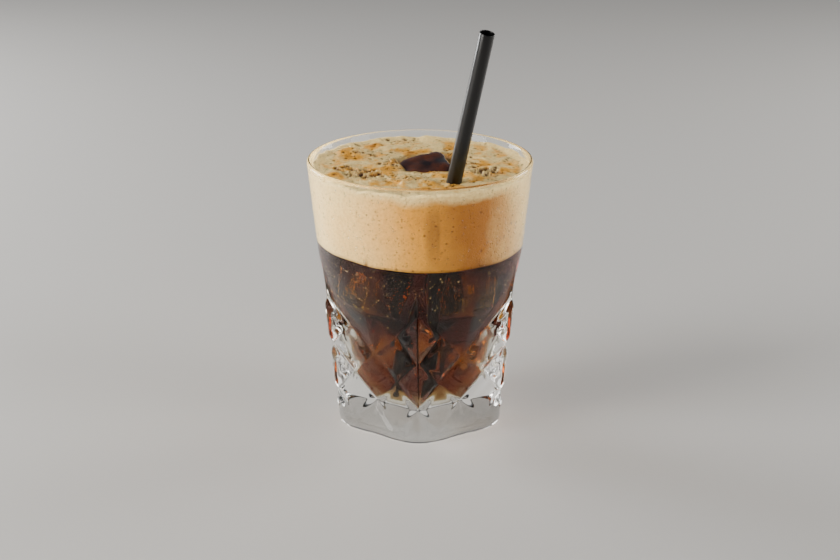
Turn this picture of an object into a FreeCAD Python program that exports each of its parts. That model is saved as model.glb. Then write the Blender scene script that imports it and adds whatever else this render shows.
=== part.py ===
import FreeCAD, Part
import math
import os

from FreeCAD import Base

# Iced coffee with milk foam in a cut glass, with a black straw standing in it.
# Frame: origin at the centre of the glass's foot, +Z up, one corner of the cut
# pattern towards -Y. Millimetres.

# ---- glass: overall ----
GLASS_HEIGHT = 107.0
RIM_RADIUS = 44.0
LIP_THICKNESS = 1.9
WALL_THICKNESS = 2.4
FLOOR_THICKNESS = 12.0
BOWL_RADIUS = 12.0            # rounding between the inner floor and the inner wall
SHOULDER_RADIUS = 60.0        # rounding where the inner wall turns from bowl to cone

# ---- glass: the round upper body ----
ROUND_HEIGHT = 72.0           # above this level every section is a circle
ROUND_RADIUS = 40.2

# ---- glass: the five-sided cut body ----
SIDES = 5
BASE_CORNER_RADIUS = 33.2     # axis to a corner edge, at the foot
APEX_CORNER_RADIUS = 39.2     # axis to a corner edge, at the top of the cuts
APEX_HEIGHT = 54.2            # top point of the cuts on each corner
ROW_STEP = 9.8                # height from one row of crossings to the next
CUT_ROWS = 5
CELLS_PER_SIDE = 4            # half cells along one side, corner to corner
GROOVE_DEPTH = 1.0
BEVEL_WIDTH = 2.3             # from the bottom of a groove to a cell's flat top

# ---- glass: the foot ----
FOOT_HEIGHT = 4.0             # level at which the cuts run out
FOOT_BULGE = 2.6              # how far the sides swell past a straight five-sided outline
FOOT_ROUND = 2.8              # rounding under the foot
FOOT_POINTS = 40

# ---- drink ----
COFFEE_LEVEL = 72.6           # top of the coffee, underside of the foam
FOAM_HEADROOM = 2.6           # rim down to the foam where it meets the wall
FOAM_DIP = 0.8                # the foam's middle lies this much lower
DRINK_GAP = 0.1               # glass to drink, and drink to straw
LAYER_GAP = 0.1               # coffee to foam

# ---- straw ----
STRAW_RADIUS = 2.9
STRAW_WALL = 0.4
STRAW_ENTRY = (13.5, -22.0)   # where the straw's axis comes out of the foam
STRAW_FOOT = (-4.9, -6.0)     # where its axis meets the level of its foot
STRAW_ABOVE_FOAM = 61.5       # along the axis
STRAW_SEAT_GAP = 0.2

FOAM_LEVEL = GLASS_HEIGHT - FOAM_HEADROOM
HALF_SIDE = math.pi / SIDES
COLUMNS = SIDES * CELLS_PER_SIDE


def corner_radius(z):
    """Distance from the axis to a corner edge of the cut body at height z."""
    return BASE_CORNER_RADIUS + (APEX_CORNER_RADIUS - BASE_CORNER_RADIUS) * z / APEX_HEIGHT


def side_distance(z):
    """Distance from the axis to the flat middle of a side at height z."""
    return corner_radius(z) * math.cos(HALF_SIDE)


def around(angle, radius, z):
    """Point at a radius, with angle 0 towards -Y and growing towards +X."""
    return Base.Vector(radius * math.sin(angle), -radius * math.cos(angle), z)


def foot_radius(angle):
    """Outline of the foot: five soft corners joined by slightly swollen sides."""
    middle = BASE_CORNER_RADIUS * math.cos(HALF_SIDE) + FOOT_BULGE
    mean = (BASE_CORNER_RADIUS + middle) / 2
    return mean + (BASE_CORNER_RADIUS - middle) / 2 * math.cos(SIDES * angle)


def column_angle(column):
    return 2 * math.pi * column / COLUMNS


def row_height(row):
    return APEX_HEIGHT - row * ROW_STEP


def crossing(column, row, lift=0.0):
    """Where two grooves cross; lift moves it out towards the uncut surface."""
    if row >= CUT_ROWS:
        angle = column_angle(column)
        return around(angle, foot_radius(angle) - (GROOVE_DEPTH - lift) / 2, FOOT_HEIGHT)
    z = row_height(row)
    distance = side_distance(z) - GROOVE_DEPTH + lift
    side, step = divmod(column, CELLS_PER_SIDE)
    along = distance * math.tan(HALF_SIDE) * (2.0 * step / CELLS_PER_SIDE - 1.0)
    middle = 2 * math.pi * (side + 0.5) / SIDES
    across = Base.Vector(math.cos(middle), math.sin(middle), 0) * along
    return around(middle, distance, z) + across


def triangle(a, b, c):
    return Part.Face(Part.makePolygon([a, b, c, a]))


def panel(points):
    """One flat face where the points lie in a plane, else triangles from the first point."""
    a, b, c = points[:3]
    normal = (b - a).cross(c - a).normalize()
    if all(abs((p - a).dot(normal)) < 1e-6 for p in points):
        return [Part.Face(Part.makePolygon(points + [points[0]]))]
    return [triangle(a, p, q) for p, q in zip(points[1:], points[2:])]


def cell(column, row):
    """A raised lozenge: four bevels up to a top that folds along its upright line."""
    low = [crossing(column, row - 1), crossing(column - 1, row)]
    low += [crossing(column, row + 1), crossing(column + 1, row)]
    high = [crossing(column, row - 1, GROOVE_DEPTH), crossing(column - 1, row, GROOVE_DEPTH)]
    high += [crossing(column, row + 1, GROOVE_DEPTH), crossing(column + 1, row, GROOVE_DEPTH)]
    spine = (high[0] + high[2]) * 0.5
    reach = ((low[0] + low[1]) * 0.5 - (low[0] + low[2]) * 0.5).Length
    share = 1.0 - BEVEL_WIDTH / reach
    top = spine + (high[0] - spine) * share
    bottom = spine + (high[2] - spine) * share
    left = spine + (high[1] - spine) * share
    right = spine + (high[3] - spine) * share
    raised = [top, left, bottom, right]
    faces = []
    for i in range(4):
        k = (i + 1) % 4
        faces += panel([low[i], low[k], raised[k], raised[i]])
    corner_cell = column % CELLS_PER_SIDE == 0
    if corner_cell or row == CUT_ROWS - 1:
        faces += [triangle(top, left, bottom), triangle(top, bottom, right)]
    else:
        faces += panel(raised)
    return faces


def foot_ring(inwards, z):
    """Corner points of the foot's outline, drawn in and set at height z."""
    angles = [2 * math.pi * i / FOOT_POINTS for i in range(FOOT_POINTS)]
    ring = [around(a, foot_radius(a) - inwards, z) for a in angles]
    step = FOOT_POINTS // COLUMNS
    if z == FOOT_HEIGHT:
        for column in range(1, COLUMNS, 2):
            ring[column * step] = crossing(column, CUT_ROWS)
    return ring


def foot_cell(column, ring):
    """The half lozenge over the foot, from its upper crossing down to the ring."""
    step = FOOT_POINTS // COLUMNS
    first = (column - 1) * step
    edge = [ring[(first + i) % FOOT_POINTS] for i in range(2 * step + 1)]
    top = crossing(column, CUT_ROWS - 1)
    return [triangle(top, p, q) for p, q in zip(edge, edge[1:])]


def band(upper, lower):
    """Flat facets between two rings of the same count."""
    faces = []
    for i in range(len(upper)):
        k = (i + 1) % len(upper)
        faces += panel([upper[i], lower[i], lower[k], upper[k]])
    return faces


def patch_row(column):
    """Row of the topmost groove crossing in a column: the outline of the corner patches."""
    step = column % CELLS_PER_SIDE
    return min(step, CELLS_PER_SIDE - step)


def shoulder_arc(column):
    """Arc of the round section over one column."""
    ends = [around(column_angle(column + t), ROUND_RADIUS, ROUND_HEIGHT) for t in (0, 0.5, 1)]
    return Part.Arc(*ends).toShape()


def smooth_panels(arcs):
    """Ruled faces from the outline of the corner patches up to the round section."""
    faces = []
    for column in range(COLUMNS):
        start = crossing(column, patch_row(column))
        end = crossing(column + 1, patch_row(column + 1))
        faces.append(Part.makeRuledSurface(Part.makeLine(start, end), arcs[column]))
    return faces


def cut_body():
    """Closed solid of the five-sided body from the foot to the round section."""
    arcs = [shoulder_arc(column) for column in range(COLUMNS)]
    faces = smooth_panels(arcs)
    for row in range(1, CUT_ROWS):
        for column in range(COLUMNS):
            if (column + row) % 2 and (row > 1 or column % CELLS_PER_SIDE == 0):
                faces += cell(column, row)
    rings = [foot_ring(0.0, FOOT_HEIGHT)]
    rings.append(foot_ring(FOOT_ROUND * 0.25, FOOT_HEIGHT * 0.3))
    rings.append(foot_ring(FOOT_ROUND, 0.0))
    for column in range(0, COLUMNS, 2):
        faces += foot_cell(column, rings[0])
    faces += band(rings[0], rings[1]) + band(rings[1], rings[2])
    faces.append(Part.Face(Part.makePolygon(rings[2] + [rings[2][0]])))
    faces.append(Part.Face(Part.Wire(arcs)))
    shell = Part.Compound(faces)
    shell.sewShape()
    return Part.Solid(shell.Shells[0])


def revolved(edges):
    """Solid of revolution about Z from a closed profile in the XZ plane."""
    face = Part.Face(Part.Wire(edges))
    return face.revolve(Base.Vector(0, 0, 0), Base.Vector(0, 0, 1), 360)


def lines(points):
    return [Part.makeLine(a, b) for a, b in zip(points, points[1:])]


def upper_body():
    """Plain cone from the round section to the rim, with a rounded lip."""
    lip = LIP_THICKNESS / 2
    outer = Base.Vector(RIM_RADIUS, 0, GLASS_HEIGHT - lip)
    crest = Base.Vector(RIM_RADIUS - lip, 0, GLASS_HEIGHT)
    side = lip * (1 - math.sqrt(0.5))
    middle = Base.Vector(RIM_RADIUS - side, 0, GLASS_HEIGHT - side)
    edges = lines([crest, Base.Vector(0, 0, GLASS_HEIGHT), Base.Vector(0, 0, ROUND_HEIGHT)])
    edges += lines([edges[-1].Vertexes[-1].Point, Base.Vector(ROUND_RADIUS, 0, ROUND_HEIGHT), outer])
    edges.append(Part.Arc(outer, middle, crest).toShape())
    return revolved(edges)


def valley_slope():
    """How fast the body widens along the middle of a smooth panel."""
    low = row_height(CELLS_PER_SIDE // 2)
    return (ROUND_RADIUS - side_distance(low) + GROOVE_DEPTH) / (ROUND_HEIGHT - low)


def rounded(before, corner, after, radius):
    """Two straight legs and the arc that rounds the corner between them."""
    a = (before - corner).normalize()
    b = (after - corner).normalize()
    half = math.acos(max(-1.0, min(1.0, a.dot(b)))) / 2
    cut = radius / math.tan(half)
    centre = corner + (a + b).normalize() * (radius / math.sin(half))
    middle = centre + (corner - centre).normalize() * radius
    return corner + a * cut, middle, corner + b * cut


def cavity(gap, top=GLASS_HEIGHT):
    """Space inside the glass, drawn in by gap, from the inner floor up to the height top."""
    floor = FLOOR_THICKNESS + gap
    shoulder = ROUND_RADIUS - WALL_THICKNESS - gap
    rim = RIM_RADIUS - LIP_THICKNESS - gap
    over = rim + (rim - shoulder) * (top - GLASS_HEIGHT) / (GLASS_HEIGHT - ROUND_HEIGHT)
    foot = shoulder - valley_slope() * (ROUND_HEIGHT - floor)
    axis_low = Base.Vector(0, 0, floor)
    corner = Base.Vector(foot, 0, floor)
    turn = Base.Vector(shoulder, 0, ROUND_HEIGHT)
    up = Base.Vector(over, 0, top)
    b0, b1, b2 = rounded(axis_low, corner, turn, BOWL_RADIUS)
    edges = [Part.makeLine(axis_low, b0), Part.Arc(b0, b1, b2).toShape()]
    s0, s1, s2 = rounded(corner, turn, up, SHOULDER_RADIUS)
    edges += [Part.makeLine(b2, s0), Part.Arc(s0, s1, s2).toShape()]
    axis_high = Base.Vector(0, 0, top)
    edges += lines([s2, up, axis_high, axis_low])
    return revolved(edges)


def lip_hollow():
    """The cavity's mouth, opened so that the lip's inner edge is round as well."""
    lip = LIP_THICKNESS / 2
    radius = RIM_RADIUS - lip
    ring = Part.makeTorus(radius, lip, Base.Vector(0, 0, GLASS_HEIGHT - lip))
    block = Part.makeCylinder(radius, lip, Base.Vector(0, 0, GLASS_HEIGHT - lip))
    return block.cut(ring)


def glass():
    body = cut_body().fuse(upper_body())
    body = body.cut(cavity(0.0, GLASS_HEIGHT + 1.0))
    return body.cut(lip_hollow())


def straw_axis():
    """Foot point on the axis, and the unit direction up the straw."""
    foot = Base.Vector(STRAW_FOOT[0], STRAW_FOOT[1], FLOOR_THICKNESS)
    entry = Base.Vector(STRAW_ENTRY[0], STRAW_ENTRY[1], FOAM_LEVEL)
    direction = (entry - foot).normalize()
    lean = math.sqrt(1 - direction.z ** 2)
    lift = STRAW_RADIUS * lean / direction.z + STRAW_SEAT_GAP
    return foot + direction * (lift / direction.z), entry, direction


def straw_rod(radius, past=0.0):
    """Cylinder on the straw's axis; past makes it longer at both ends."""
    foot, entry, direction = straw_axis()
    start = foot - direction * past
    length = (entry - foot).Length + STRAW_ABOVE_FOAM + 2 * past
    return Part.makeCylinder(radius, length, start, direction)


def straw():
    return straw_rod(STRAW_RADIUS).cut(straw_rod(STRAW_RADIUS - STRAW_WALL, 1.0))


def straw_room():
    """What the drink leaves free round the straw."""
    return straw_rod(STRAW_RADIUS + DRINK_GAP, STRAW_SEAT_GAP + DRINK_GAP)


def layer(bottom, top):
    """What the cavity holds between two levels, with room left for the straw."""
    slab = Part.makeCylinder(2 * RIM_RADIUS, top - bottom, Base.Vector(0, 0, bottom))
    return cavity(DRINK_GAP).common(slab).cut(straw_room())


def coffee():
    return layer(0.0, COFFEE_LEVEL)


def foam():
    """Head of foam over the coffee; its top sinks a little towards the middle."""
    ball = (RIM_RADIUS ** 2 + FOAM_DIP ** 2) / (2 * FOAM_DIP)
    hollow = Part.makeSphere(ball, Base.Vector(0, 0, FOAM_LEVEL - FOAM_DIP + ball))
    return layer(COFFEE_LEVEL + LAYER_GAP, FOAM_LEVEL).cut(hollow)


os.makedirs("parts", exist_ok=True)
for name, shape in (("glass", glass()), ("coffee", coffee()), ("foam", foam()), ("straw", straw())):
    shape.exportStep("parts/" + name + ".step")
    print(name, "solids", len(shape.Solids), "volume", round(shape.Volume), "valid", shape.isValid())
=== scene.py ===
"""Iced coffee under a deep head of milk foam in a cut glass, with a black straw.

Laid out as an add-on: each operator makes one piece or one group of like pieces
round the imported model, and main() runs them in order.
"""

import math
import random

import bmesh
import bpy
from mathutils import Euler, Matrix, Vector, kdtree, noise


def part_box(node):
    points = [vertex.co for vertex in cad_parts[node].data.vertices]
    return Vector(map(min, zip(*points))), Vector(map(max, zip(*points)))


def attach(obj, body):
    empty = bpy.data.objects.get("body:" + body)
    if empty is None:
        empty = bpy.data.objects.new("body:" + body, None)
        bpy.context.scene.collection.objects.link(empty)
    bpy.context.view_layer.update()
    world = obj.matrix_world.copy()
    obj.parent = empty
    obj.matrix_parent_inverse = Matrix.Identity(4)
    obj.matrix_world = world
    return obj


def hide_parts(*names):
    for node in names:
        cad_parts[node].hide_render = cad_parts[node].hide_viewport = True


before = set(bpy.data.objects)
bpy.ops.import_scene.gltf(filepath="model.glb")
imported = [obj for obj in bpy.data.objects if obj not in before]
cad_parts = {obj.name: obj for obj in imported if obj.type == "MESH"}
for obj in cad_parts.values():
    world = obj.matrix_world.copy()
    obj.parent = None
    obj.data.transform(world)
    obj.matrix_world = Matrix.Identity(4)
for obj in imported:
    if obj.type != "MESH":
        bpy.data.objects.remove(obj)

bl_info = {
    "name": "Iced coffee in a cut glass",
    "version": (1, 0, 0),
    "blender": (4, 5, 0),
    "location": "3D View > Sidebar > Iced coffee",
    "description": "Makes the glass, drink, foam, ice, straw and stage of an iced coffee",
    "category": "Add Mesh",
}

# ---------------------------------------------------------------- sizes ----
MM = 0.001
BODY = "root"

GLASS_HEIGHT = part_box("glass")[1].z
RIM_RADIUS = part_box("glass")[1].x
FOAM_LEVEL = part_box("foam")[1].z
COFFEE_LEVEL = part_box("coffee")[1].z

LIP_THICKNESS = 1.9 * MM
WALL_THICKNESS = 2.4 * MM
FLOOR_THICKNESS = 12.0 * MM
BOWL_RADIUS = 12.0 * MM
SHOULDER_RADIUS = 60.0 * MM
ROUND_HEIGHT = 72.0 * MM
ROUND_RADIUS = 40.2 * MM

SIDES = 5
HALF_SIDE = math.pi / SIDES
BASE_CORNER_RADIUS = 33.2 * MM
APEX_CORNER_RADIUS = 39.2 * MM
APEX_HEIGHT = 54.2 * MM
ROW_STEP = 9.8 * MM
CUT_ROWS = 5
CELLS_PER_SIDE = 4
FOOT_HEIGHT = 4.0 * MM
FOOT_BULGE = 2.6 * MM
FOOT_ROUND = 2.8 * MM
FOOT_SHARE = 0.5               # share of the cuts' depth left where they meet the foot
STEPS = 16                     # mesh steps along a half cell
COLUMNS = SIDES * CELLS_PER_SIDE

STRAW_RADIUS = 2.9 * MM
STRAW_WALL = 0.4 * MM
STRAW_ENTRY = Vector((13.5, -22.0, 104.4)) * MM
STRAW_FOOT = Vector((-4.9, -6.0, 12.8)) * MM
STRAW_ABOVE_FOAM = 61.5 * MM

REACH = 0.15 * MM              # how far the drink reaches into the wall of the glass
ROUNDS = 192                   # mesh segments round the coffee
FOAM_ROUNDS = 420              # and round the foam, for its bubbles
COFFEE_RINGS = 24              # mesh rings over the top of the coffee
FOAM_RINGS = 110               # and over the top of the foam
FOAM_SIDE_RINGS = 24           # and up the side of the foam
FOAM_LAP = 0.3 * MM            # how far the foam reaches down into the coffee
BATCH = 25                     # small things made before they join the rest


# ------------------------------------------------------------- settings ----
class GlassSettings(bpy.types.PropertyGroup):
    groove_depth: bpy.props.FloatProperty(
        name="Groove depth", description="Depth of the cuts between the cells",
        default=1.0 * MM, min=0.0, max=2.0 * MM, unit="LENGTH")
    bevel_width: bpy.props.FloatProperty(
        name="Bevel width", description="From the bottom of a groove to a cell's flat top",
        default=2.3 * MM, min=0.5 * MM, max=5.0 * MM, unit="LENGTH")
    ior: bpy.props.FloatProperty(
        name="Refraction", description="Index of refraction of the glass",
        default=1.5, min=1.0, max=2.0)


class DrinkSettings(bpy.types.PropertyGroup):
    coffee_tint: bpy.props.FloatVectorProperty(
        name="Coffee tint", description="Light that the coffee lets through",
        default=(0.898, 0.80, 0.36), subtype="COLOR", size=3, min=0.0, max=1.0)
    coffee_strength: bpy.props.FloatProperty(
        name="Coffee strength", description="How fast the coffee swallows light, per metre",
        default=570.0, min=0.0)
    cream: bpy.props.FloatVectorProperty(
        name="Cream", description="Palest foam",
        default=(0.97, 0.73, 0.30), subtype="COLOR", size=3, min=0.0, max=1.0)
    gold: bpy.props.FloatVectorProperty(
        name="Golden foam", description="Middle tone of the foam",
        default=(0.92, 0.44, 0.05), subtype="COLOR", size=3, min=0.0, max=1.0)
    # Tan also darkens the right side of the foam, where it is partly painted shade.
    tan: bpy.props.FloatVectorProperty(
        name="Tan foam", description="Foam stained by the coffee",
        default=(0.48, 0.18, 0.016), subtype="COLOR", size=3, min=0.0, max=1.0)
    # Coffee stain colour; also the painted shade in the foam's pinholes and pits, and round the ice tip.
    stain_and_shade: bpy.props.FloatVectorProperty(
        name="Coffee stain", description="Coffee run into the foam",
        default=(0.085, 0.026, 0.010), subtype="COLOR", size=3, min=0.0, max=1.0)


class IceSettings(bpy.types.PropertyGroup):
    rounding: bpy.props.FloatProperty(
        name="Rounding", description="Radius of an ice cube's melted edges",
        default=3.0 * MM, min=0.2 * MM, max=8.0 * MM, unit="LENGTH")
    lumps: bpy.props.FloatProperty(
        name="Lumps", description="Unevenness of an ice cube's faces",
        default=0.7 * MM, min=0.0, max=3.0 * MM, unit="LENGTH")


class DropletSettings(bpy.types.PropertyGroup):
    count: bpy.props.IntProperty(
        name="Droplets", description="Beads of water on the glass",
        default=900, min=0, max=3000)
    largest: bpy.props.FloatProperty(
        name="Largest", description="Radius of the largest bead",
        default=0.48 * MM, min=0.05 * MM, max=3.0 * MM, unit="LENGTH")
    bubbles: bpy.props.IntProperty(
        name="Bubbles", description="Small bubbles in the coffee",
        default=420, min=0, max=3000)


class StrawSettings(bpy.types.PropertyGroup):
    colour: bpy.props.FloatVectorProperty(
        name="Colour", description="Colour of the straw",
        default=(0.0020, 0.0018, 0.0019), subtype="COLOR", size=3, min=0.0, max=1.0)


class StageSettings(bpy.types.PropertyGroup):
    floor: bpy.props.FloatVectorProperty(
        name="Floor", description="Colour of the floor",
        default=(0.60, 0.585, 0.56), subtype="COLOR", size=3, min=0.0, max=1.0)
    key_power: bpy.props.FloatProperty(
        name="Key light", description="Power of the large soft light on the left, in watts",
        default=12.0, min=0.0)
    distance: bpy.props.FloatProperty(
        name="Camera distance", description="From the camera to the middle of the glass",
        default=0.9, min=0.2, max=5.0, unit="LENGTH")
    elevation: bpy.props.FloatProperty(
        name="Camera elevation", description="How far the camera looks down",
        default=math.radians(18.695), min=0.0, max=1.5, unit="ROTATION")


# -------------------------------------------------------- shape helpers ----
def around(angle, radius, z):
    """Point at a radius, with angle 0 towards -Y and growing towards +X."""
    return Vector((radius * math.sin(angle), -radius * math.cos(angle), z))


def blend(a, b, t):
    return a + (b - a) * t


def ease(t):
    t = max(0.0, min(1.0, t))
    return t * t * (3.0 - 2.0 * t)


def first_ring(bm, points):
    """A closed ring of vertices through the points."""
    verts = bmesh.ops.create_circle(bm, segments=len(points), radius=1.0)["verts"]
    for vert, point in zip(verts, points):
        vert.co = point
    return verts


def next_ring(bm, ring, points):
    """Extrudes the open edge of a ring and sets the new ring on the points."""
    edges = [bm.edges.get((a, b)) for a, b in zip(ring, ring[1:] + ring[:1])]
    made = bmesh.ops.extrude_edge_only(bm, edges=edges)["geom"]
    fresh = {g for g in made if isinstance(g, bmesh.types.BMVert)}
    raised = []
    for vert, point in zip(ring, points):
        up = next(e.other_vert(vert) for e in vert.link_edges if e.other_vert(vert) in fresh)
        up.co = point
        raised.append(up)
    return raised


def close_ring(bm, ring, point):
    """Draws a ring together into one point."""
    last = next_ring(bm, ring, [point] * len(ring))
    bmesh.ops.pointmerge(bm, verts=last, merge_co=point)


def piece(bm, name, material, replaces=()):
    """Turns a finished bmesh into a piece that rides on the model."""
    mesh = bpy.data.meshes.new(name)
    bm.to_mesh(mesh)
    bm.free()
    mesh.shade_smooth()
    mesh.materials.append(material)
    obj = bpy.data.objects.new(name, mesh)
    bpy.context.scene.collection.objects.link(obj)
    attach(obj, BODY)
    if replaces:
        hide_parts(*replaces)
    return obj


def rounded(before, corner, after, radius, steps=8):
    """Points of the arc that rounds the corner between two straight legs."""
    a = (before - corner).normalized()
    b = (after - corner).normalized()
    half = a.angle(b) / 2
    centre = corner + (a + b).normalized() * (radius / math.sin(half))
    start = corner + a * (radius / math.tan(half)) - centre
    end = corner + b * (radius / math.tan(half)) - centre
    turn = start.angle_signed(end)
    return [centre + Matrix.Rotation(-turn * i / steps, 2) @ start for i in range(steps + 1)]


# ------------------------------------------------------------ the glass ----
def corner_radius(z):
    return BASE_CORNER_RADIUS + (APEX_CORNER_RADIUS - BASE_CORNER_RADIUS) * z / APEX_HEIGHT


def column_angle(column):
    """Columns are evenly spaced along each flat side."""
    side, step = divmod(column, CELLS_PER_SIDE)
    along = math.tan(HALF_SIDE) * (2.0 * step / CELLS_PER_SIDE - 1.0)
    return 2 * math.pi * (side + 0.5) / SIDES + math.atan(along)


def flat_radius(angle, z, lift):
    """Five flat sides, set in by the groove depth and let out again by lift."""
    depth = bpy.context.scene.coffee_glass.groove_depth
    off = angle % (2 * HALF_SIDE) - HALF_SIDE
    return (corner_radius(z) * math.cos(HALF_SIDE) - depth + lift) / math.cos(off)


def foot_radius(angle):
    middle = BASE_CORNER_RADIUS * math.cos(HALF_SIDE) + FOOT_BULGE
    mean = (BASE_CORNER_RADIUS + middle) / 2
    return mean + (BASE_CORNER_RADIUS - middle) / 2 * math.cos(SIDES * angle)


def row_height(row):
    if row <= CUT_ROWS - 1:
        return APEX_HEIGHT - row * ROW_STEP
    last = APEX_HEIGHT - (CUT_ROWS - 1) * ROW_STEP
    return blend(last, FOOT_HEIGHT, row - (CUT_ROWS - 1))


def patch_row(column):
    """Where the cuts begin in a column: high on the corners, low between them."""
    step = column % CELLS_PER_SIDE
    return min(step, CELLS_PER_SIDE - step)


def relief(column, row):
    """Height of the cells over the grooves: two crossing families of V cuts."""
    settings = bpy.context.scene.coffee_glass
    half_width = corner_radius(0.0) * math.sin(HALF_SIDE) * 2 / CELLS_PER_SIDE
    reach = half_width * ROW_STEP / math.hypot(half_width, ROW_STEP)
    rising = (column + row) % 2
    falling = (column - row) % 2
    away = min(rising, 2 - rising, falling, 2 - falling)
    return settings.groove_depth * min(1.0, away * reach / settings.bevel_width)


def panel_radius(column, z):
    """Smooth body between the cuts and the round top, without a crease at the round."""
    angle = column_angle(column)
    low = row_height(patch_row(column))
    start = flat_radius(angle, low, 0.0)
    span = ROUND_HEIGHT - low
    t = (z - low) / span
    rise = 1.15 * (ROUND_RADIUS - start)
    run_out = (RIM_RADIUS - ROUND_RADIUS) / (GLASS_HEIGHT - ROUND_HEIGHT) * span
    a = 2 * t ** 3 - 3 * t ** 2 + 1
    b = t ** 3 - 2 * t ** 2 + t
    c = t ** 3 - t ** 2
    return a * start + b * rise + (1 - a) * ROUND_RADIUS + c * run_out


def cut_radius(column, row):
    angle = column_angle(column)
    lift = relief(column, row)
    if row <= CUT_ROWS - 1:
        return flat_radius(angle, row_height(row), lift)
    depth = bpy.context.scene.coffee_glass.groove_depth
    upper = flat_radius(angle, row_height(CUT_ROWS - 1), lift)
    lower = foot_radius(angle) - (depth - lift) * FOOT_SHARE
    return blend(upper, lower, row - (CUT_ROWS - 1))


def glass_outside():
    """Rings of the outer surface, from under the foot up over the lip."""
    columns = [i / STEPS for i in range(COLUMNS * STEPS)]
    angles = [column_angle(c) for c in columns]
    depth = bpy.context.scene.coffee_glass.groove_depth
    for t in (0.35, 0.7, 0.93):
        yield [around(a, (foot_radius(a) - FOOT_ROUND) * t, 0.0) for a in angles]
    for i in range(7):
        turn = math.pi / 2 * (1 - i / 7)
        inwards = FOOT_ROUND * (1 - math.cos(turn))
        z = FOOT_HEIGHT * (1 - math.sin(turn))
        fade = math.cos(turn) * FOOT_SHARE
        yield [around(a, foot_radius(a) - inwards - fade * (depth - relief(c, CUT_ROWS)), z)
               for a, c in zip(angles, columns)]
    for i in range(CUT_ROWS * STEPS, -1, -1):
        row = i / STEPS
        z = row_height(row)
        yield [around(a, cut_radius(c, row) if row >= patch_row(c) else panel_radius(c, z), z)
               for a, c in zip(angles, columns)]
    for i in range(1, 17):
        z = blend(APEX_HEIGHT, ROUND_HEIGHT, i / 16)
        yield [around(a, panel_radius(c, z), z) for a, c in zip(angles, columns)]
    lip = LIP_THICKNESS / 2
    for i in range(1, 13):
        z = blend(ROUND_HEIGHT, GLASS_HEIGHT - lip, i / 12)
        radius = blend(ROUND_RADIUS, RIM_RADIUS, i / 12)
        yield [around(a, radius, z) for a in angles]
    for i in range(1, 10):
        turn = math.pi * i / 10
        radius = RIM_RADIUS - lip + lip * math.cos(turn)
        z = GLASS_HEIGHT - lip + lip * math.sin(turn)
        yield [around(a, radius, z) for a in angles]


def cavity_profile(gap):
    """(radius, height) points of the inside, drawn in by gap, from the floor up."""
    low = row_height(CELLS_PER_SIDE // 2)
    valley = corner_radius(low) * math.cos(HALF_SIDE) - 1.0 * MM
    slope = (ROUND_RADIUS - valley) / (ROUND_HEIGHT - low)
    floor = FLOOR_THICKNESS + gap
    shoulder = ROUND_RADIUS - WALL_THICKNESS - gap
    rim = Vector((RIM_RADIUS - LIP_THICKNESS - gap, GLASS_HEIGHT))
    turn = Vector((shoulder, ROUND_HEIGHT))
    corner = Vector((shoulder - slope * (ROUND_HEIGHT - floor), floor))
    points = rounded(Vector((0.0, floor)), corner, turn, BOWL_RADIUS)
    points += rounded(corner, turn, rim, SHOULDER_RADIUS)
    return points + [rim]


def radius_at(profile, z):
    """Radius of a profile at height z."""
    for low, high in zip(profile, profile[1:]):
        if low.y <= z <= high.y:
            return blend(low.x, high.x, (z - low.y) / max(high.y - low.y, 1e-9))
    return profile[-1].x if z > profile[-1].y else 0.0


def make_glass():
    bm = bmesh.new()
    angles = [column_angle(i / STEPS) for i in range(COLUMNS * STEPS)]
    ring = None
    for points in glass_outside():
        ring = next_ring(bm, ring, points) if ring else first_ring(bm, points)
        if len(bm.verts) == len(points):
            start = ring
    profile = cavity_profile(0.0)
    top = GLASS_HEIGHT - LIP_THICKNESS / 2
    heights = [blend(top, ROUND_HEIGHT + 6 * MM, i / 8) for i in range(1, 9)]
    heights += [p.y for p in reversed(profile) if p.y < heights[-1]]
    steps = []
    for high, low in zip(heights, heights[1:]):
        count = max(1, round((high - low) / (4 * MM)))
        steps += [blend(high, low, i / count) for i in range(count)]
    for z in steps + [heights[-1]]:
        ring = next_ring(bm, ring, [around(a, radius_at(profile, z), z) for a in angles])
    for t in (0.66, 0.33):
        floor = profile[0]
        ring = next_ring(bm, ring, [around(a, floor.x * t, floor.y) for a in angles])
    close_ring(bm, ring, Vector((0, 0, profile[0].y)))
    close_ring(bm, start, Vector((0, 0, 0)))
    bmesh.ops.recalc_face_normals(bm, faces=bm.faces)
    return piece(bm, "glass_tumbler", glass_material(), ["glass"])


# ------------------------------------------------------------ materials ----
def new_material(name):
    material = bpy.data.materials.new(name)
    material.use_nodes = True
    tree = material.node_tree
    tree.nodes.clear()
    out = tree.nodes.new("ShaderNodeOutputMaterial")
    return material, tree, out


def node(tree, kind, settings=None, **inputs):
    """Adds a node; inputs are values or sockets, by name with _ for a space."""
    made = tree.nodes.new("ShaderNode" + kind)
    for key, value in (settings or {}).items():
        setattr(made, key, value)
    for key, value in inputs.items():
        name = int(key[1:]) if key[0] == "i" and key[1:].isdigit() else key.replace("_", " ")
        socket = made.inputs[name]
        if isinstance(value, bpy.types.NodeSocket):
            tree.links.new(value, socket)
        else:
            socket.default_value = value
    return made


def math_node(tree, operation, a, b=0.0, c=0.0, clamp=False):
    made = node(tree, "Math", {"operation": operation, "use_clamp": clamp}, i0=a, i1=b, i2=c)
    return made.outputs[0]


def mix_colour(tree, factor, a, b):
    made = tree.nodes.new("ShaderNodeMix")
    made.data_type = "RGBA"
    for socket, value in zip((made.inputs[0], made.inputs[6], made.inputs[7]), (factor, a, b)):
        if isinstance(value, bpy.types.NodeSocket):
            tree.links.new(value, socket)
        elif socket is made.inputs[0]:
            socket.default_value = value
        else:
            socket.default_value = tuple(value)[:3] + (1.0,)
    return made.outputs[2]


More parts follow.
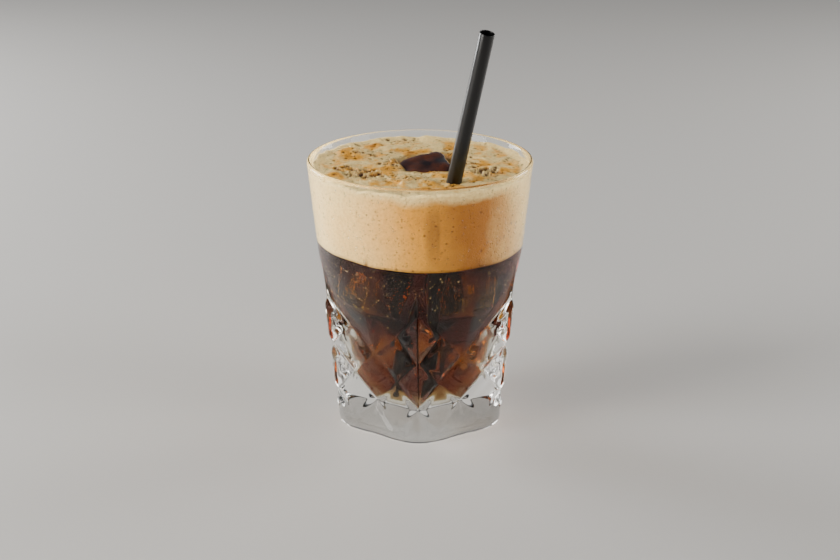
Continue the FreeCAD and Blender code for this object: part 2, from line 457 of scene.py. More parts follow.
def clear_surface(tree, out, shader, share):
    """Lets part of the lamps' light straight through, as a clear body does."""
    path = node(tree, "LightPath")
    through = math_node(tree, "MULTIPLY", path.outputs["Is Shadow Ray"], share)
    clear = node(tree, "BsdfTransparent", Color=(1, 1, 1, 1))
    mix = node(tree, "MixShader", i0=through, i1=shader, i2=clear.outputs[0])
    tree.links.new(mix.outputs[0], out.inputs["Surface"])


def object_coordinates(tree):
    return node(tree, "TexCoord").outputs["Object"]


def new_group(name, inputs, outputs):
    """An empty node group with named sockets."""
    group = bpy.data.node_groups.new(name, "ShaderNodeTree")
    for label, kind, value in inputs:
        socket = group.interface.new_socket(label, in_out="INPUT", socket_type=kind)
        if value is not None:
            socket.default_value = value
    for label, kind in outputs:
        group.interface.new_socket(label, in_out="OUTPUT", socket_type=kind)
    return group, group.nodes.new("NodeGroupInput"), group.nodes.new("NodeGroupOutput")


def group_node(tree, group, **inputs):
    made = tree.nodes.new("ShaderNodeGroup")
    made.node_tree = group
    for key, value in inputs.items():
        socket = made.inputs[key.replace("_", " ")]
        if isinstance(value, bpy.types.NodeSocket):
            tree.links.new(value, socket)
        else:
            socket.default_value = value
    return made


def uneven_group():
    """Wavy height: two sizes of noise added up, for glass, ice, straw and foam."""
    name = "Uneven surface"
    if name in bpy.data.node_groups:
        return bpy.data.node_groups[name]
    group, into, out = new_group(
        name,
        [("Vector", "NodeSocketVector", None), ("Scale", "NodeSocketFloat", 100.0),
         ("Fine", "NodeSocketFloat", 0.3)],
        [("Height", "NodeSocketFloat")])
    coarse = node(group, "TexNoise", Vector=into.outputs[0], Scale=into.outputs[1], Detail=3.0)
    scale = math_node(group, "MULTIPLY", into.outputs[1], 5.0)
    fine = node(group, "TexNoise", Vector=into.outputs[0], Scale=scale, Detail=2.0)
    share = math_node(group, "MULTIPLY", fine.outputs[0], into.outputs[2])
    group.links.new(math_node(group, "ADD", coarse.outputs[0], share), out.inputs[0])
    return group


def pinhole_group():
    """Mask of small round bubbles: 1 in a bubble's middle, 0 between bubbles."""
    name = "Pinholes"
    if name in bpy.data.node_groups:
        return bpy.data.node_groups[name]
    group, into, out = new_group(
        name,
        [("Vector", "NodeSocketVector", None), ("Scale", "NodeSocketFloat", 900.0),
         ("Size", "NodeSocketFloat", 0.25), ("Share", "NodeSocketFloat", 0.5)],
        [("Mask", "NodeSocketFloat")])
    cells = node(group, "TexVoronoi", Vector=into.outputs[0], Scale=into.outputs[1])
    pick = node(group, "SeparateColor", Color=cells.outputs["Color"])
    chosen = math_node(group, "LESS_THAN", pick.outputs[0], into.outputs[3])
    size = math_node(group, "MULTIPLY", pick.outputs[1], into.outputs[2])
    inside = math_node(group, "DIVIDE", cells.outputs["Distance"], size)
    hole = math_node(group, "SUBTRACT", 1.0, inside, clamp=True)
    group.links.new(math_node(group, "MULTIPLY", hole, chosen), out.inputs[0])
    return group


def patch_group():
    """Mask of one soft oval patch at a place, with a ragged edge."""
    name = "Soft patch"
    if name in bpy.data.node_groups:
        return bpy.data.node_groups[name]
    group, into, out = new_group(
        name,
        [("Vector", "NodeSocketVector", None), ("Centre", "NodeSocketVector", (0, 0, 0)),
         ("Size", "NodeSocketVector", (0.01, 0.01, 0.01)), ("Ragged", "NodeSocketFloat", 0.3),
         ("Softness", "NodeSocketFloat", 0.5)],
        [("Mask", "NodeSocketFloat")])
    off = node(group, "VectorMath", {"operation": "SUBTRACT"}, i0=into.outputs[0], i1=into.outputs[1])
    unit = node(group, "VectorMath", {"operation": "DIVIDE"}, i0=off.outputs[0], i1=into.outputs[2])
    length = node(group, "VectorMath", {"operation": "LENGTH"}, i0=unit.outputs[0])
    rough = node(group, "TexNoise", Vector=into.outputs[0], Scale=260.0, Detail=3.0)
    ragged = math_node(group, "MULTIPLY", math_node(group, "SUBTRACT", rough.outputs[0], 0.5),
                       into.outputs[3])
    edge = math_node(group, "ADD", length.outputs["Value"], ragged)
    gone = math_node(group, "DIVIDE", math_node(group, "SUBTRACT", 1.0, edge), into.outputs[4],
                     clamp=True)
    group.links.new(gone, out.inputs[0])
    return group


def glass_material():
    material, tree, out = new_material("Clear cut glass")
    wave = group_node(tree, uneven_group(), Vector=object_coordinates(tree), Scale=28.0, Fine=0.05)
    bump = node(tree, "Bump", Strength=0.05, Distance=1.0 * MM, Height=wave.outputs[0])
    ior = bpy.context.scene.coffee_glass.ior
    shader = node(tree, "BsdfPrincipled", Base_Color=(0.985, 0.995, 0.99, 1), Roughness=0.0,
                  IOR=ior, Transmission_Weight=1.0, Normal=bump.outputs[0])
    shader.inputs["Specular Tint"].default_value = (0.35, 0.35, 0.35, 1)
    clear_surface(tree, out, shader.outputs[0], 0.9)
    return material


def coffee_material():
    settings = bpy.context.scene.coffee_drink
    material, tree, out = new_material("Cold black coffee")
    shader = node(tree, "BsdfPrincipled", Base_Color=(1, 1, 1, 1), Roughness=0.0, IOR=1.333,
                  Transmission_Weight=1.0)
    shader.inputs["Specular Tint"].default_value = (0, 0, 0, 1)
    clear_surface(tree, out, shader.outputs[0], 1.0)
    tint = tuple(settings.coffee_tint) + (1.0,)
    volume = node(tree, "VolumeAbsorption", Color=tint, Density=settings.coffee_strength)
    tree.links.new(volume.outputs[0], out.inputs["Volume"])
    return material


def ice_material():
    material, tree, out = new_material("Clear ice")
    wave = group_node(tree, uneven_group(), Vector=object_coordinates(tree), Scale=160.0, Fine=0.4)
    bump = node(tree, "Bump", Strength=0.35, Distance=0.6 * MM, Height=wave.outputs[0])
    shader = node(tree, "BsdfPrincipled", Base_Color=(1, 1, 1, 1), Roughness=0.04, IOR=1.31,
                  Transmission_Weight=1.0, Normal=bump.outputs[0])
    clear_surface(tree, out, shader.outputs[0], 1.0)
    return material


def wet_ice_material():
    """Ice that stands out of the foam, with coffee under and round it."""
    material, tree, out = new_material("Ice over coffee")
    place = object_coordinates(tree)
    wave = group_node(tree, uneven_group(), Vector=place, Scale=120.0, Fine=0.3)
    cloud = node(tree, "ValToRGB", Fac=node(tree, "TexNoise", Vector=place, Scale=150.0,
                                             Detail=2.0).outputs[0])
    ramp = cloud.color_ramp
    ramp.elements[0].position = 0.35
    ramp.elements[0].color = (0.012, 0.005, 0.007, 1)
    ramp.elements[1].position = 0.72
    ramp.elements[1].color = (0.10, 0.028, 0.012, 1)
    bump = node(tree, "Bump", Strength=0.3, Distance=0.8 * MM, Height=wave.outputs[0])
    shader = node(tree, "BsdfPrincipled", Base_Color=cloud.outputs[0], Roughness=0.08, IOR=1.31,
                  Coat_Weight=0.6, Coat_Roughness=0.03, Normal=bump.outputs[0])
    tree.links.new(shader.outputs[0], out.inputs["Surface"])
    return material


def foam_material():
    """Milk foam: cream to gold to tan across the glass, partly its own colour and partly painted light,
    paler on the lit left; pale under the rim; pitted, with painted shade in its pits and pinholes.
    """
    settings = bpy.context.scene.coffee_drink
    material, tree, out = new_material("Milk foam")
    place = object_coordinates(tree)
    drift = node(tree, "TexNoise", Vector=place, Scale=45.0, Detail=4.0, Roughness=0.6)
    axes = node(tree, "SeparateXYZ", Vector=place)
    # Cream on the left to gold and tan on the right, back to cream at the far right: partly the foam's
    # own colour, partly painted light, paler where the key light falls on the left and painted shade on
    # the right.
    sideways = math_node(tree, "MULTIPLY_ADD", axes.outputs[0], 1 / (84 * MM), 0.5)
    wander = math_node(tree, "MULTIPLY_ADD", drift.outputs[0], 0.26, -0.13)
    across_tone_and_light = node(tree, "ValToRGB", Fac=math_node(tree, "ADD", sideways, wander))
    ramp = across_tone_and_light.color_ramp
    cream = tuple(settings.cream) + (1.0,)
    gold = tuple(settings.gold) + (1.0,)
    tan = tuple(settings.tan) + (1.0,)
    ramp.elements[0].position = 0.10
    ramp.elements[0].color = cream
    ramp.elements[1].position = 0.97
    ramp.elements[1].color = cream
    for position, colour in ((0.50, gold), (0.70, tan), (0.80, tan)):
        ramp.elements.new(position).color = colour
    lumpy = math_node(tree, "MULTIPLY_ADD", drift.outputs[0], 9 * MM, -4.5 * MM)
    height = math_node(tree, "ADD", axes.outputs[2], lumpy)
    band = math_node(tree, "MULTIPLY_ADD", height, 1 / (3.0 * MM), -(FOAM_LEVEL - 4.5 * MM) / (3.0 * MM),
                     clamp=True)
    pale = mix_colour(tree, band, across_tone_and_light.outputs[0], cream)
    stain_and_shade = tuple(settings.stain_and_shade) + (1.0,)
    colour = pale
    for centre, size, ragged, softness, strength in STAINS:
        mask = group_node(tree, patch_group(), Vector=place, Centre=centre, Size=size,
                          Ragged=ragged, Softness=softness)
        share = math_node(tree, "MULTIPLY", mask.outputs[0], strength)
        colour = mix_colour(tree, share, colour, stain_and_shade)
    mottle = node(tree, "TexNoise", Vector=place, Scale=115.0, Detail=5.0, Roughness=0.62)
    patches = node(tree, "ValToRGB", Fac=mottle.outputs[0])
    ramp = patches.color_ramp
    ramp.elements[0].position = 0.46
    ramp.elements[0].color = cream
    ramp.elements[1].position = 0.74
    ramp.elements[1].color = tan
    ramp.elements.new(0.58).color = gold
    crown = node(tree, "Attribute", {"attribute_name": "crown"})
    colour = mix_colour(tree, crown.outputs["Fac"], colour, patches.outputs[0])
    # Pinholes, sunk in by the bump below and darkened: painted shade in the holes.
    holes = group_node(tree, pinhole_group(), Vector=place, Scale=480.0, Size=0.40, Share=0.34)
    fine = group_node(tree, pinhole_group(), Vector=place, Scale=950.0, Size=0.55, Share=0.7)
    pinhole_shade = math_node(tree, "MULTIPLY", holes.outputs[0], 0.85)
    colour = mix_colour(tree, pinhole_shade, colour, stain_and_shade)
    colour = mix_colour(tree, math_node(tree, "MULTIPLY", fine.outputs[0], 0.45), colour, stain_and_shade)
    froth = node(tree, "TexNoise", Vector=place, Scale=900.0, Detail=3.0, Roughness=0.7)
    froth_share = math_node(tree, "MULTIPLY_ADD", froth.outputs[0], 2.2, -0.9, clamp=True)
    colour = mix_colour(tree, math_node(tree, "MULTIPLY", froth_share, 0.5), colour, tan)
    # Painted shade in the open bubbles on top, and painted shadow with wet foam round the ice tip.
    pit_shade_and_wet = node(tree, "Attribute", {"attribute_name": "pit_shade_and_wet"})
    colour = mix_colour(tree, pit_shade_and_wet.outputs["Fac"], colour, stain_and_shade)
    wave = group_node(tree, uneven_group(), Vector=place, Scale=420.0, Fine=0.6)
    pits = math_node(tree, "ADD", holes.outputs[0], fine.outputs[0])
    relief_height = math_node(tree, "SUBTRACT", wave.outputs[0], pits)
    bump = node(tree, "Bump", Strength=0.7, Distance=0.4 * MM, Height=relief_height)
    shader = node(tree, "BsdfPrincipled", Base_Color=colour, Roughness=0.5, IOR=1.35,
                  Normal=bump.outputs[0])
    tree.links.new(shader.outputs[0], out.inputs["Surface"])
    return material


def straw_material():
    settings = bpy.context.scene.coffee_straw
    material, tree, out = new_material("Black satin plastic")
    place = object_coordinates(tree)
    grain = group_node(tree, uneven_group(), Vector=place, Scale=900.0, Fine=0.5)
    rough = math_node(tree, "MULTIPLY_ADD", grain.outputs[0], 0.06, 0.25)
    bump = node(tree, "Bump", Strength=0.08, Distance=0.1 * MM, Height=grain.outputs[0])
    shader = node(tree, "BsdfPrincipled", Base_Color=tuple(settings.colour) + (1.0,),
                  Roughness=rough, IOR=1.49, Normal=bump.outputs[0])
    tree.links.new(shader.outputs[0], out.inputs["Surface"])
    return material


def bubble_material():
    settings = bpy.context.scene.coffee_drink
    material, tree, out = new_material("Bubbles of foam")
    shader = node(tree, "BsdfPrincipled", Base_Color=tuple(settings.cream) + (1.0,), Roughness=0.2,
                  IOR=1.35)
    tree.links.new(shader.outputs[0], out.inputs["Surface"])
    return material


def water_material():
    material, tree, out = new_material("Beads of water")
    shader = node(tree, "BsdfPrincipled", Base_Color=(1, 1, 1, 1), Roughness=0.0, IOR=1.333,
                  Transmission_Weight=1.0)
    clear_surface(tree, out, shader.outputs[0], 1.0)
    return material


# ------------------------------------------------------------ the drink ----
def level_at(x, y):
    """Top of the coffee: a little uneven, and higher on the left."""
    wave = noise.noise(Vector((x, y, 0.0)) * 70.0) * 0.5 * MM
    return COFFEE_LEVEL + 0.6 * MM + 2.4 * MM * ease(-x / (36 * MM)) + wave


ICE = (
    # centre in mm, size in mm, turn in degrees
    ((-15.2, -10.7, 59.8), 19.0, (8, 12, 38)),
    ((13.9, -12.9, 58.8), 18.5, (-10, 6, 46)),
    ((1.0, 13.5, 58.5), 19.5, (6, -8, 2)),
    ((-6.5, 1.5, 33.5), 21.0, (20, 14, 10)),
    ((10.5, -3.0, 29.5), 15.0, (-24, 8, 40)),
)
TIP = ((3.0, 5.5, 93.4), 22.5, (8, -8, 20))


def ice_cube(centre, size, turn, grow, melt=1.0):
    """Mesh of one melted cube: bevelled and lumpy; grow lets its skin out or in."""
    settings = bpy.context.scene.coffee_ice
    bm = bmesh.new()
    bmesh.ops.create_cube(bm, size=size * MM)
    bmesh.ops.bevel(bm, geom=bm.edges[:], offset=settings.rounding * melt, segments=6, profile=0.5,
                    affect="EDGES", material=-1)
    long_edges = [e for e in bm.edges if e.calc_length() > size * MM / 5]
    bmesh.ops.subdivide_edges(bm, edges=long_edges, cuts=9, use_grid_fill=True)
    bmesh.ops.recalc_face_normals(bm, faces=bm.faces)
    seed = Vector(centre) * 0.1
    for v in bm.verts:
        lump = noise.noise(v.co * 90.0 + seed) + 0.4 * noise.noise(v.co * 260.0 + seed)
        v.co += v.normal * (lump * settings.lumps * melt)
    bm.normal_update()
    skins = [(v, v.normal * grow) for v in bm.verts]
    for v, move in skins:
        v.co += move
    turn = Euler([math.radians(a) for a in turn]).to_matrix().to_4x4()
    place = Matrix.Translation(Vector(centre) * MM) @ turn
    bmesh.ops.transform(bm, matrix=place, verts=bm.verts)
    return bm


def take_in(bm, other, inside_out=False):
    """Adds another bmesh's surface to this one, turned inside out for a hollow."""
    if inside_out:
        bmesh.ops.reverse_faces(other, faces=other.faces)
    mesh = bpy.data.meshes.new("part")
    other.to_mesh(mesh)
    other.free()
    bm.from_mesh(mesh)
    bpy.data.meshes.remove(mesh)


def make_coffee():
    bm = bmesh.new()
    profile = cavity_profile(-REACH)
    angles = [2 * math.pi * i / ROUNDS for i in range(ROUNDS)]
    floor = profile[0]
    ring = first_ring(bm, [around(a, floor.x * 0.5, floor.y) for a in angles])
    start = ring
    heights = [p.y for p in profile if p.y < COFFEE_LEVEL - 2 * MM]
    for z in heights:
        ring = next_ring(bm, ring, [around(a, radius_at(profile, z), z) for a in angles])
    rim = []
    for a in angles:
        edge = around(a, radius_at(profile, COFFEE_LEVEL), 0.0)
        rim.append(level_at(edge.x, edge.y))
    for t in (0.25, 0.5, 0.75, 1.0):
        levels = [blend(heights[-1], z, t) for z in rim]
        ring = next_ring(bm, ring, [around(a, radius_at(profile, z), z) for a, z in zip(angles, levels)])
    for i in range(1, COFFEE_RINGS):
        points = []
        for a in angles:
            p = around(a, radius_at(profile, COFFEE_LEVEL) * (1 - i / COFFEE_RINGS), 0.0)
            points.append(Vector((p.x, p.y, level_at(p.x, p.y))))
        ring = next_ring(bm, ring, points)
    close_ring(bm, ring, Vector((0, 0, level_at(0, 0))))
    close_ring(bm, start, Vector((0, 0, floor.y)))
    bmesh.ops.recalc_face_normals(bm, faces=bm.faces)
    for centre, size, turn in ICE:
        take_in(bm, ice_cube(centre, size, turn, -0.04 * MM), inside_out=True)
    return piece(bm, "coffee_drink", coffee_material(), ["coffee"])


def make_ice():
    bm = bmesh.new()
    for centre, size, turn in ICE:
        take_in(bm, ice_cube(centre, size, turn, 0.04 * MM))
    piece(bm, "ice_in_coffee", ice_material())
    return piece(ice_cube(*TIP, 0.0, melt=2.1), "ice_tip", wet_ice_material())


# ------------------------------------------------------------- the foam ----
STAINS = (
    # centre, half sizes, ragged edge, softness, strength
    (Vector((5.5, -41.0, 88.0)) * MM, Vector((3.6, 12.0, 15.5)) * MM, 0.30, 0.7, 0.42),
    (Vector((7.6, -41.0, 87.0)) * MM, Vector((0.9, 12.0, 14.0)) * MM, 0.30, 0.9, 0.30),
    (Vector((-19.2, -36.0, 74.0)) * MM, Vector((1.1, 12.0, 4.0)) * MM, 0.40, 0.7, 0.75),
    (Vector((-8.0, -39.0, 72.5)) * MM, Vector((9.0, 12.0, 2.0)) * MM, 0.80, 0.9, 0.45),
    (Vector((24.0, -32.0, 73.5)) * MM, Vector((5.0, 12.0, 4.0)) * MM, 0.80, 0.9, 0.40),
)

BUBBLE_CLUSTERS = (
    # x, y, spread, count, largest radius, all in mm
    (-22.0, -9.0, 7.0, 95, 1.9),
    (-30.0, -3.0, 3.0, 20, 1.3),
    (-10.0, 3.0, 7.0, 50, 1.4),
    (-8.0, -16.0, 7.0, 40, 1.2),
    (26.0, -7.0, 6.0, 80, 1.7),
    (17.0, 3.0, 6.0, 40, 1.4),
    (-8.0, 37.0, 6.0, 26, 0.9),
    (13.0, -27.0, 4.0, 18, 1.1),
    (1.0, -8.0, 7.0, 30, 1.1),
    (-20.0, 18.0, 9.0, 30, 1.3),
    (16.0, 20.0, 8.0, 26, 1.2),
    (0.0, 0.0, 40.0, 520, 0.75),
)

RIDGES = (
    # from x, y to x, y in mm
    (-15.5, -10.0, -6.0, -25.0),
    (-6.0, -25.0, 2.0, -14.0),
    (-26.0, 14.0, -12.0, 22.0),
    (14.0, 22.0, 26.0, 10.0),
)

MOUNDS = (
    # x, y, radius, height in mm
    (3.5, -20.0, 6.5, 1.1),
    (-28.0, 20.0, 9.0, 0.8),
    (22.0, -24.0, 8.0, 0.7),
    (-33.0, -12.0, 7.0, 0.6),
)


def distance_to_line(p, a, b):
    along = max(0.0, min(1.0, (p - a).dot(b - a) / (b - a).length_squared))
    return (p - (a + (b - a) * along)).length


def tip_share(p):
    """How far out a point lies from the ice tip: 1 at the edge of its top."""
    off = Matrix.Rotation(-math.radians(TIP[2][2]), 2) @ (p - Vector(TIP[0][:2]) * MM)
    wave = 0.14 * noise.noise(Vector((p.x, p.y, 0.0)) * 160.0)
    return (abs(off.x) ** 4 + abs(off.y) ** 4) ** 0.25 / (TIP[1] / 2 * MM) + wave


def foam_height(x, y):
    """Top of the foam before its bubbles: lumps, ridges, and the dip round the ice tip."""
    p = Vector((x, y))
    radius = p.length
    z = FOAM_LEVEL - 0.7 * MM
    z += 0.9 * MM * noise.noise(Vector((x, y, 0)) * 120.0)
    z += 0.5 * MM * noise.noise(Vector((x, y, 0)) * 300.0)
    for x0, y0, size, rise in MOUNDS:
        away = (p - Vector((x0, y0)) * MM).length / (size * MM)
        z += rise * MM * ease(1 - away)
    for x0, y0, x1, y1 in RIDGES:
        away = distance_to_line(p, Vector((x0, y0)) * MM, Vector((x1, y1)) * MM)
        z += 0.7 * MM * ease(1 - away / (1.6 * MM))
    rim = radius_at(cavity_profile(0.0), FOAM_LEVEL)
    z += 0.9 * MM * ease((radius - rim + 3.0 * MM) / (3.0 * MM))
    z -= 1.5 * MM * ease((1.10 - tip_share(p)) / 0.25)
    return min(z, FOAM_LEVEL + 1.2 * MM)


def bubble_places():
    """Seeded places and sizes of the open bubbles on the foam's top."""
    chance = random.Random(7)
    found = []
    for x, y, spread, count, largest in BUBBLE_CLUSTERS:
        for _ in range(count):
            turn = chance.uniform(0, 2 * math.pi)
            away = spread * math.sqrt(chance.random())
            size = largest * (0.25 + 0.75 * chance.random() ** 2)
            place = Vector((x + away * math.cos(turn), y + away * math.sin(turn)))
            found.append((place * MM, size * MM))
    return found


def make_foam():
    bm = bmesh.new()
    pit_shade_and_wet = bm.verts.layers.float.new("pit_shade_and_wet")
    crown = bm.verts.layers.float.new("crown")
    profile = cavity_profile(-REACH)
    angles = [2 * math.pi * i / FOAM_ROUNDS for i in range(FOAM_ROUNDS)]
    bottom = radius_at(profile, COFFEE_LEVEL)

    def underside(share):
        points = []
        for a in angles:
            p = around(a, bottom * share, 0.0)
            points.append(Vector((p.x, p.y, level_at(p.x, p.y) - FOAM_LAP)))
        return points

    ring = first_ring(bm, underside(0.2))
    start = ring
    for share in (0.4, 0.6, 0.8, 0.92, 1.0):
        ring = next_ring(bm, ring, underside(share))
    edge = []
    for a in angles:
        p = around(a, radius_at(profile, FOAM_LEVEL), 0.0)
        edge.append(foam_height(p.x, p.y))
    low = [v.co.z for v in ring]
    for i in range(FOAM_SIDE_RINGS + 1):
        levels = [blend(a, b, i / FOAM_SIDE_RINGS) for a, b in zip(low, edge)]
        points = [around(a, radius_at(profile, z), z) for a, z in zip(angles, levels)]
        ring = next_ring(bm, ring, points)
    top = []
    for i in range(1, FOAM_RINGS):
        points = []
        for a in angles:
            p = around(a, radius_at(profile, FOAM_LEVEL) * (1 - i / FOAM_RINGS), 0.0)
            points.append(Vector((p.x, p.y, foam_height(p.x, p.y))))
        ring = next_ring(bm, ring, points)
        top += ring
    close_ring(bm, ring, Vector((0, 0, foam_height(0, 0))))
    close_ring(bm, start, Vector((0, 0, level_at(0, 0) - FOAM_LAP)))
    bmesh.ops.recalc_face_normals(bm, faces=bm.faces)
    tree = kdtree.KDTree(len(top))
    rim = radius_at(profile, FOAM_LEVEL)
    for i, v in enumerate(top):
        tree.insert(Vector((v.co.x, v.co.y, 0.0)), i)
        v[crown] = ease((rim - v.co.xy.length - 1.5 * MM) / (3.5 * MM))
        # Painted shadow, and foam wet from the ice, round the ice tip.
        v[pit_shade_and_wet] = 0.55 * ease((1.28 - tip_share(v.co.xy)) / 0.22)
    tree.balance()
    for place, size in bubble_places():
        for _, i, away in tree.find_range(Vector((place.x, place.y, 0.0)), size * 1.35):
            share = away / size
            if share < 1:
                depth = math.sqrt(1 - share ** 2)
                top[i].co.z -= size * 0.8 * depth
                # Painted shade in the open bubble, darker the deeper it is.
                top[i][pit_shade_and_wet] = max(top[i][pit_shade_and_wet], min(1.0, depth * 1.3))
            else:
                top[i].co.z += size * 0.16 * (1.35 - share) / 0.35
                top[i][pit_shade_and_wet] *= 0.4
    return piece(bm, "milk_foam", foam_material(), ["foam"])


# ------------------------------------------------------------ the straw ----
def make_straw():
    """A straight tube with softly rounded ends, spun and then leant over."""
    direction = (STRAW_ENTRY - STRAW_FOOT).normalized()
    length = (STRAW_ENTRY - STRAW_FOOT).length + STRAW_ABOVE_FOAM
    inner = STRAW_RADIUS - STRAW_WALL
    mid = (STRAW_RADIUS + inner) / 2
    soft = STRAW_WALL / 2
    section = []
    for end, sign in ((length - soft, 1), (soft, -1)):
        for i in range(7):
            turn = math.pi * i / 6
            side = math.cos(turn) if sign > 0 else -math.cos(turn)
            section.append(Vector((mid + soft * side, 0, end + sign * soft * math.sin(turn))))
    bm = bmesh.new()
    verts = [bm.verts.new(p) for p in section]
    edges = [bm.edges.new(pair) for pair in zip(verts, verts[1:] + verts[:1])]
    bmesh.ops.spin(bm, geom=verts + edges, cent=(0, 0, 0), axis=(0, 0, 1), dvec=(0, 0, 0),
                   angle=2 * math.pi, steps=72, use_merge=True, use_duplicate=False)
    bmesh.ops.remove_doubles(bm, verts=bm.verts, dist=1e-7)
    long_edges = [e for e in bm.edges if e.calc_length() > length / 2]
    bmesh.ops.subdivide_edges(bm, edges=long_edges, cuts=12)
    bmesh.ops.recalc_face_normals(bm, faces=bm.faces)
    lean = Vector((0, 0, 1)).rotation_difference(direction).to_matrix().to_4x4()
    bmesh.ops.transform(bm, matrix=Matrix.Translation(STRAW_FOOT) @ lean, verts=bm.verts)
    return piece(bm, "straw_tube", straw_material(), ["straw"])


# --------------------------------------------------------- the droplets ----
def scatter(count, add_one):
    """Builds many small things in batches, which keeps each step quick."""
    bm = bmesh.new()
    batch = bmesh.new()
    for i in range(count):
        add_one(batch)
        if i % BATCH == BATCH - 1:
            take_in(bm, batch)
            batch = bmesh.new()
    take_in(bm, batch)
    return bm


def make_droplets():
    """Beads of water on the outside of the glass, most of them beside the foam."""
    settings = bpy.context.scene.coffee_droplets
    chance = random.Random(23)

    def add_bead(bm):
        angle = math.radians(chance.choice((40, 62, 75, 250, -35, 150)) + chance.gauss(0, 18))
        z = chance.uniform(57, 103) * MM
        size = settings.largest * (0.3 + 0.7 * chance.random() ** 2)
        side, off = divmod(angle % (2 * math.pi), 2 * HALF_SIDE)
        step = (math.tan(off - HALF_SIDE) / math.tan(HALF_SIDE) + 1) * CELLS_PER_SIDE / 2
        radius = panel_radius(side * CELLS_PER_SIDE + step, z)
        if z > ROUND_HEIGHT:
            t = (z - ROUND_HEIGHT) / (GLASS_HEIGHT - ROUND_HEIGHT)
            radius = blend(ROUND_RADIUS, RIM_RADIUS, t)
        made = bmesh.ops.create_icosphere(bm, subdivisions=2, radius=size)["verts"]
        squash = Matrix.Diagonal((1.0, 0.45, chance.uniform(1.0, 1.7), 1.0))
        turn = Matrix.Rotation(angle, 4, "Z")
        place = Matrix.Translation(around(angle, radius - 0.05 * size, z))
        bmesh.ops.transform(bm, matrix=place @ turn @ squash, verts=made)

    return piece(scatter(settings.count, add_bead), "water_beads", water_material())


def make_bubbles():
    """Small bubbles that cling to the inside of the glass under the foam."""
    settings = bpy.context.scene.coffee_droplets
    chance = random.Random(41)
    profile = cavity_profile(0.0)

    def add_bubble(bm):
        angle = chance.uniform(0, 2 * math.pi)
        z = blend(40 * MM, 71 * MM, math.sqrt(chance.random()))
        size = settings.largest * (0.20 + 0.32 * chance.random() ** 3)
        place = around(angle, radius_at(profile, z) - size - 0.05 * MM, z)
        bmesh.ops.create_icosphere(bm, subdivisions=2, radius=size, matrix=Matrix.Translation(place))

    return piece(scatter(settings.bubbles, add_bubble), "coffee_bubbles", bubble_material())


# ------------------------------------------------------------ the stage ----
LAMPS = (
    # name, place, size in metres, share of the key light's power, colour
    ("Key", (-0.80, -0.40, 0.44), (0.45, 0.8), 1.0, (1.0, 0.97, 0.93)),
    ("Fill", (0.85, -0.30, 0.45), (0.4, 0.6), 0.35, (1.0, 0.98, 0.95)),
    ("Back left", (-0.75, 0.48, 0.24), (0.4, 0.42), 0.75, (1.0, 1.0, 1.0)),
    ("Back right", (0.75, 0.48, 0.24), (0.4, 0.42), 0.45, (1.0, 0.98, 0.95)),
)


def area_light(name, place, target, size, power, colour):
    data = bpy.data.lights.new(name, "AREA")
    data.shape = "RECTANGLE"
    data.size, data.size_y = size
    data.energy = power
    data.color = colour
    obj = bpy.data.objects.new(name, data)
    obj.location = place
    obj.rotation_euler = (Vector(target) - Vector(place)).to_track_quat("-Z", "Y").to_euler()
    bpy.context.scene.collection.objects.link(obj)
    return obj


def make_stage():
    settings = bpy.context.scene.coffee_stage
    scene = bpy.context.scene
    bm = bmesh.new()
    bmesh.ops.create_grid(bm, x_segments=2, y_segments=2, size=6.0)
    mesh = bpy.data.meshes.new("floor")
    bm.to_mesh(mesh)
    bm.free()
    floor = bpy.data.objects.new("floor", mesh)
    scene.collection.objects.link(floor)
    material, tree, out = new_material("Pale floor")
    grain = node(tree, "TexNoise", Vector=object_coordinates(tree), Scale=300.0, Detail=4.0)
    rough = math_node(tree, "MULTIPLY_ADD", grain.outputs[0], 0.1, 0.5)
    shader = node(tree, "BsdfPrincipled", Base_Color=tuple(settings.floor) + (1.0,), Roughness=rough)
    tree.links.new(shader.outputs[0], out.inputs["Surface"])
    mesh.materials.append(material)
    world = bpy.data.worlds.new("Studio")
    scene.world = world
    world.use_nodes = True
    background = world.node_tree.nodes["Background"]
    background.inputs["Color"].default_value = (0.92, 0.95, 1.0, 1)
    background.inputs["Strength"].default_value = 0.14
    middle = (0, 0, 0.06)
    for name, place, size, share, colour in LAMPS:
        area_light(name, place, middle, size, settings.key_power * share, colour)
    data = bpy.data.cameras.new("Camera")
    camera = bpy.data.objects.new("Camera", data)
    scene.collection.objects.link(camera)
    target = Vector((0, 0, 57.08 * MM))
    turn = math.radians(1.3)
    back = Vector((math.sin(turn) * math.cos(settings.elevation),
                   -math.cos(turn) * math.cos(settings.elevation), math.sin(settings.elevation)))
    camera.location = target + back * settings.distance
    camera.rotation_euler = (-back).to_track_quat("-Z", "Y").to_euler()
    data.lens = 97.58
    data.sensor_width = 36.0
    data.clip_start = 0.02
    data.clip_end = 30.0
    scene.camera = camera


# ------------------------------------------------- operators and panel ----
class ICED_OT_glass(bpy.types.Operator):
    """Make the glass with its cut lower body"""
    bl_idname = "iced_coffee.glass"
    bl_label = "Glass"

    def execute(self, context):
        make_glass()
        return {"FINISHED"}


class ICED_OT_coffee(bpy.types.Operator):
    """Make the coffee, with hollows where the ice lies"""
    bl_idname = "iced_coffee.coffee"
    bl_label = "Coffee"

    def execute(self, context):
        make_coffee()
        return {"FINISHED"}


class ICED_OT_ice(bpy.types.Operator):
    """Make the ice in the coffee and the tip that stands out of the foam"""
    bl_idname = "iced_coffee.ice"
    bl_label = "Ice"

    def execute(self, context):
        make_ice()
        return {"FINISHED"}


class ICED_OT_foam(bpy.types.Operator):
    """Make the head of milk foam with its open bubbles"""
    bl_idname = "iced_coffee.foam"
    bl_label = "Foam"

    def execute(self, context):
        make_foam()
        return {"FINISHED"}


class ICED_OT_straw(bpy.types.Operator):
    """Make the black straw"""
    bl_idname = "iced_coffee.straw"
    bl_label = "Straw"

    def execute(self, context):
        make_straw()
        return {"FINISHED"}


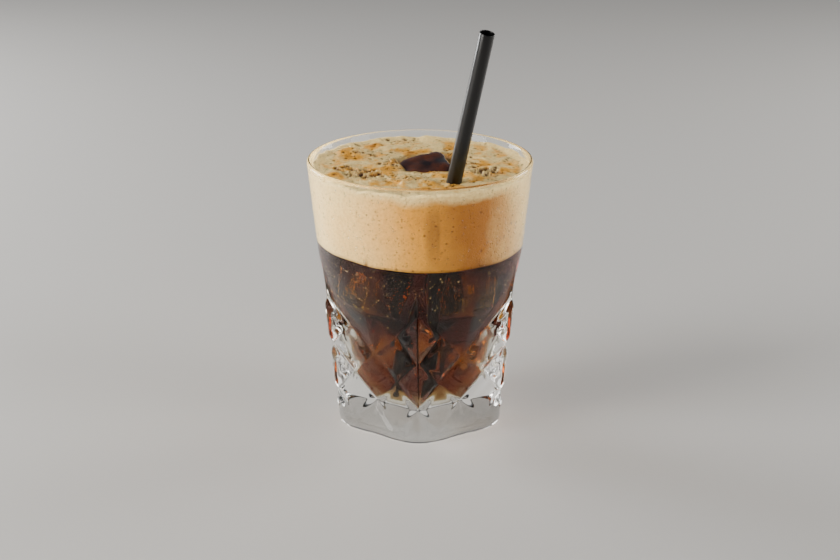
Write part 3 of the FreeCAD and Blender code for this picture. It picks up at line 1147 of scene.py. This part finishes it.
class ICED_OT_droplets(bpy.types.Operator):
    """Make the beads of water on the glass"""
    bl_idname = "iced_coffee.droplets"
    bl_label = "Water beads"

    def execute(self, context):
        make_droplets()
        return {"FINISHED"}


class ICED_OT_bubbles(bpy.types.Operator):
    """Make the small bubbles in the coffee"""
    bl_idname = "iced_coffee.bubbles"
    bl_label = "Bubbles"

    def execute(self, context):
        make_bubbles()
        return {"FINISHED"}


class ICED_OT_stage(bpy.types.Operator):
    """Make the floor, the studio light and the camera"""
    bl_idname = "iced_coffee.stage"
    bl_label = "Stage"

    def execute(self, context):
        make_stage()
        return {"FINISHED"}


SETTINGS = (
    ("coffee_glass", GlassSettings),
    ("coffee_drink", DrinkSettings),
    ("coffee_ice", IceSettings),
    ("coffee_droplets", DropletSettings),
    ("coffee_straw", StrawSettings),
    ("coffee_stage", StageSettings),
)
OPERATORS = (
    ICED_OT_glass, ICED_OT_coffee, ICED_OT_ice, ICED_OT_foam, ICED_OT_straw,
    ICED_OT_droplets, ICED_OT_bubbles, ICED_OT_stage,
)


class ICED_PT_panel(bpy.types.Panel):
    """Lists the pieces of the iced coffee and their settings"""
    bl_idname = "ICED_PT_panel"
    bl_label = "Iced coffee"
    bl_space_type = "VIEW_3D"
    bl_region_type = "UI"
    bl_category = "Iced coffee"

    def draw(self, context):
        for operator in OPERATORS:
            self.layout.operator(operator.bl_idname)
        for name, kind in SETTINGS:
            box = self.layout.box()
            for key in kind.__annotations__:
                box.prop(getattr(context.scene, name), key)


def register():
    for name, kind in SETTINGS:
        bpy.utils.register_class(kind)
        setattr(bpy.types.Scene, name, bpy.props.PointerProperty(type=kind))
    for operator in OPERATORS:
        bpy.utils.register_class(operator)
    bpy.utils.register_class(ICED_PT_panel)


def unregister():
    bpy.utils.unregister_class(ICED_PT_panel)
    for operator in reversed(OPERATORS):
        bpy.utils.unregister_class(operator)
    for name, kind in reversed(SETTINGS):
        delattr(bpy.types.Scene, name)
        bpy.utils.unregister_class(kind)


def main():
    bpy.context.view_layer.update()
    register()
    bpy.ops.iced_coffee.glass()
    bpy.ops.iced_coffee.coffee()
    bpy.ops.iced_coffee.ice()
    bpy.ops.iced_coffee.foam()
    bpy.ops.iced_coffee.straw()
    bpy.ops.iced_coffee.droplets()
    bpy.ops.iced_coffee.bubbles()
    bpy.ops.iced_coffee.stage()
    bpy.context.view_layer.update()


if __name__ == "__main__":
    main()
